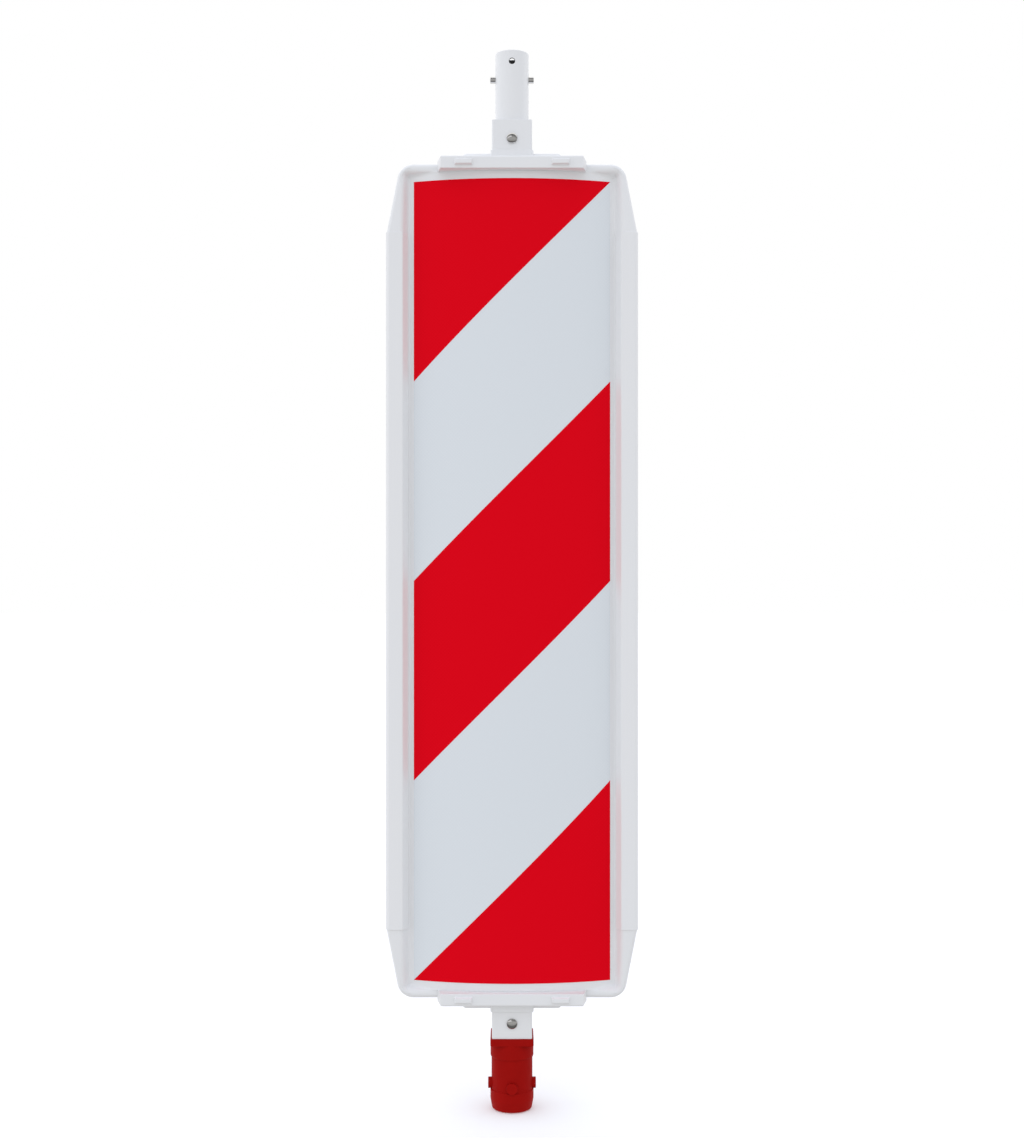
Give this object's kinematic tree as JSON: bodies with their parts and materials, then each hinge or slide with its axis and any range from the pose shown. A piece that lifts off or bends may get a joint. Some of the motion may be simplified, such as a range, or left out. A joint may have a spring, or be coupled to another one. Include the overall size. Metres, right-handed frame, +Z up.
{
  "type": "guide beacon",
  "caption": "Double-sided red and white striped guide beacon panel on a square post, with a bayonet plug below and a round lamp stub with spring buttons on top.",
  "frame": {"origin": "centre of the bayonet plug's end face, the lowest point of the beacon", "axes": "+Z up along the post, +X to the right and +Y away from someone who faces the front of the panel"},
  "size_m": [0.315, 0.089, 1.325],
  "materials": {
    "shell_plastic": "fine satin moulding",
    "strip_plastic": "satin extrusion",
    "white_film": "retroreflective film",
    "red_film": "retroreflective film",
    "cap_plastic": "fine satin moulding",
    "post_paint": "powder coat",
    "button_steel": "turned",
    "spring_steel": "spring temper",
    "rivet_steel": "polished dome",
    "plug_plastic": "fine satin moulding"
  },
  "bodies": {
    "beacon": {"front_shell": "shell_plastic", "rear_shell": "shell_plastic", "left_edge_strip": "strip_plastic", "right_edge_strip": "strip_plastic", "front_white_film": "white_film", "front_red_film_upper": "red_film", "front_red_film_middle": "red_film", "front_red_film_lower": "red_film", "rear_white_film": "white_film", "rear_red_film_upper": "red_film", "rear_red_film_middle": "red_film", "rear_red_film_lower": "red_film", "top_cap": "cap_plastic", "bottom_cap": "cap_plastic", "square_post": "post_paint", "lamp_stub": "post_paint", "button_spring": "spring_steel", "top_rivet": "rivet_steel", "bottom_rivet": "rivet_steel", "bayonet_plug": "plug_plastic"},
    "left_button": {"left_button": "button_steel"},
    "right_button": {"right_button": "button_steel"}
  },
  "joints": [
    {"name": "left_button_press", "type": "slide", "parent": "beacon", "child": "left_button", "axis": [1, 0, 0], "range_m": [0, 0.0065], "stiffness_N_per_m": 1500, "springref_m": -0.004, "deforming": ["button_spring"]},
    {"name": "right_button_press", "type": "slide", "parent": "beacon", "child": "right_button", "axis": [-1, 0, 0], "range_m": [0, 0.0065], "stiffness_N_per_m": 1500, "springref_m": -0.004, "deforming": ["button_spring"]}
  ]
}
